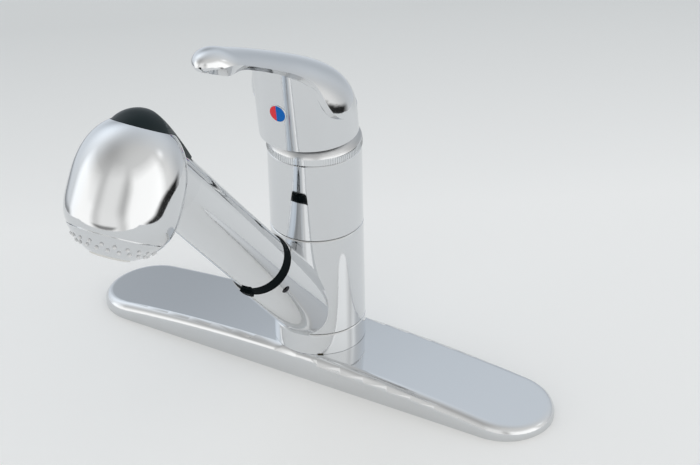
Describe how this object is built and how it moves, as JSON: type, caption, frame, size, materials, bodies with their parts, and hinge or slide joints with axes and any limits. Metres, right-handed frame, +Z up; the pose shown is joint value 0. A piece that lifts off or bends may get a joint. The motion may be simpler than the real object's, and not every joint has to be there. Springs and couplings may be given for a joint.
{
  "type": "kitchen faucet",
  "caption": "Single-lever kitchen faucet on a long deck plate, with a swivelling slanted spout and a pull-out spray head with a rocker button.",
  "frame": {"origin": "middle of the deck plate's underside, on the shank's axis", "axes": "+Z up, +X along the deck plate, the spout points to -Y"},
  "size_m": [0.26, 0.2024, 0.2709],
  "materials": {
    "chrome": "polished chrome plate",
    "black_plastic": "fine satin black",
    "grey_rubber": "soft grey",
    "brass": "machined",
    "steel": "plain",
    "rubber": "matte black",
    "white_plastic": "moulded, natural white",
    "ceramic": "ground white",
    "red_inlay": "gloss",
    "blue_inlay": "gloss"
  },
  "bodies": {
    "base": {"deck_plate": "chrome", "deck_gasket": "rubber", "mounting_shank": "brass", "valve_body": "brass", "base_collar": "chrome", "lower_swivel_bush": "white_plastic", "upper_swivel_bush": "white_plastic", "upper_sleeve": "chrome", "cartridge_base": "white_plastic", "port_seals": "rubber", "fixed_disc": "ceramic", "cartridge_housing": "white_plastic", "cartridge_nut": "brass", "dome_ring": "chrome"},
    "clamp": {"rubber_washer": "rubber", "steel_washer": "steel", "lock_nut": "brass"},
    "spout": {"spout_body": "chrome", "branch_set_screw": "steel", "wand_guide_bush": "white_plastic", "docking_ring": "black_plastic"},
    "wand": {"wand_tube": "chrome", "wand_spigot": "white_plastic", "check_valve": "white_plastic", "wand_water_tube": "white_plastic", "head_shell": "chrome", "diverter_block": "white_plastic", "button_pivot_pin": "steel", "face_seal": "rubber", "spray_face": "chrome", "nozzle_nubs": "grey_rubber", "aerator_body": "white_plastic", "aerator_screen": "steel"},
    "button": {"spray_button": "black_plastic"},
    "plunger": {"diverter_plunger": "white_plastic", "plunger_ring": "rubber"},
    "turret": {"cartridge_turret": "white_plastic", "stem_pin": "steel"},
    "lever": {"cartridge_stem": "steel", "handle": "chrome", "handle_set_screw": "steel", "indicator_plug": "chrome", "indicator_hot": "red_inlay", "indicator_cold": "blue_inlay"},
    "disc": {"moving_disc": "ceramic", "disc_carrier": "white_plastic"}
  },
  "joints": [
    {"name": "lock_nut_travel", "type": "slide", "parent": "base", "child": "clamp", "axis": [0, 0, 1], "range_m": [-0.03, 0.028]},
    {"name": "spout_swivel", "type": "hinge", "parent": "base", "child": "spout", "pos_m": [0, 0, 0.05], "axis": [0, 0, 1], "range_deg": [-60, 60]},
    {"name": "wand_pull", "type": "slide", "parent": "spout", "child": "wand", "axis": [0, -0.6547, 0.7559], "range_m": [0, 0.5]},
    {"name": "button_rock", "type": "hinge", "parent": "wand", "child": "button", "pos_m": [0, -0.12502, 0.18111], "axis": [1, 0, 0], "range_deg": [0, 3.5], "stiffness_Nm_per_rad": 0.3, "springref_deg": -1.72},
    {"name": "plunger_slide", "type": "slide", "parent": "wand", "child": "plunger", "axis": [0, -0.512, -0.859], "range_m": [0, 0.0012]},
    {"name": "handle_turn", "type": "hinge", "parent": "base", "child": "turret", "pos_m": [0, 0, 0.10825], "axis": [0, 0, 1], "range_deg": [-45, 45]},
    {"name": "handle_lift", "type": "hinge", "parent": "turret", "child": "lever", "pos_m": [0, 0, 0.10825], "axis": [-1, 0, 0], "range_deg": [0, 25]},
    {"name": "disc_slide", "type": "slide", "parent": "turret", "child": "disc", "axis": [0, -1, 0], "range_m": [0, 0.004]}
  ],
  "couplings": [
    {"joint": "disc_slide", "follows": "handle_lift", "m_per_rad": 0.0089},
    {"joint": "plunger_slide", "follows": "button_rock", "m_per_rad": 0.017}
  ]
}
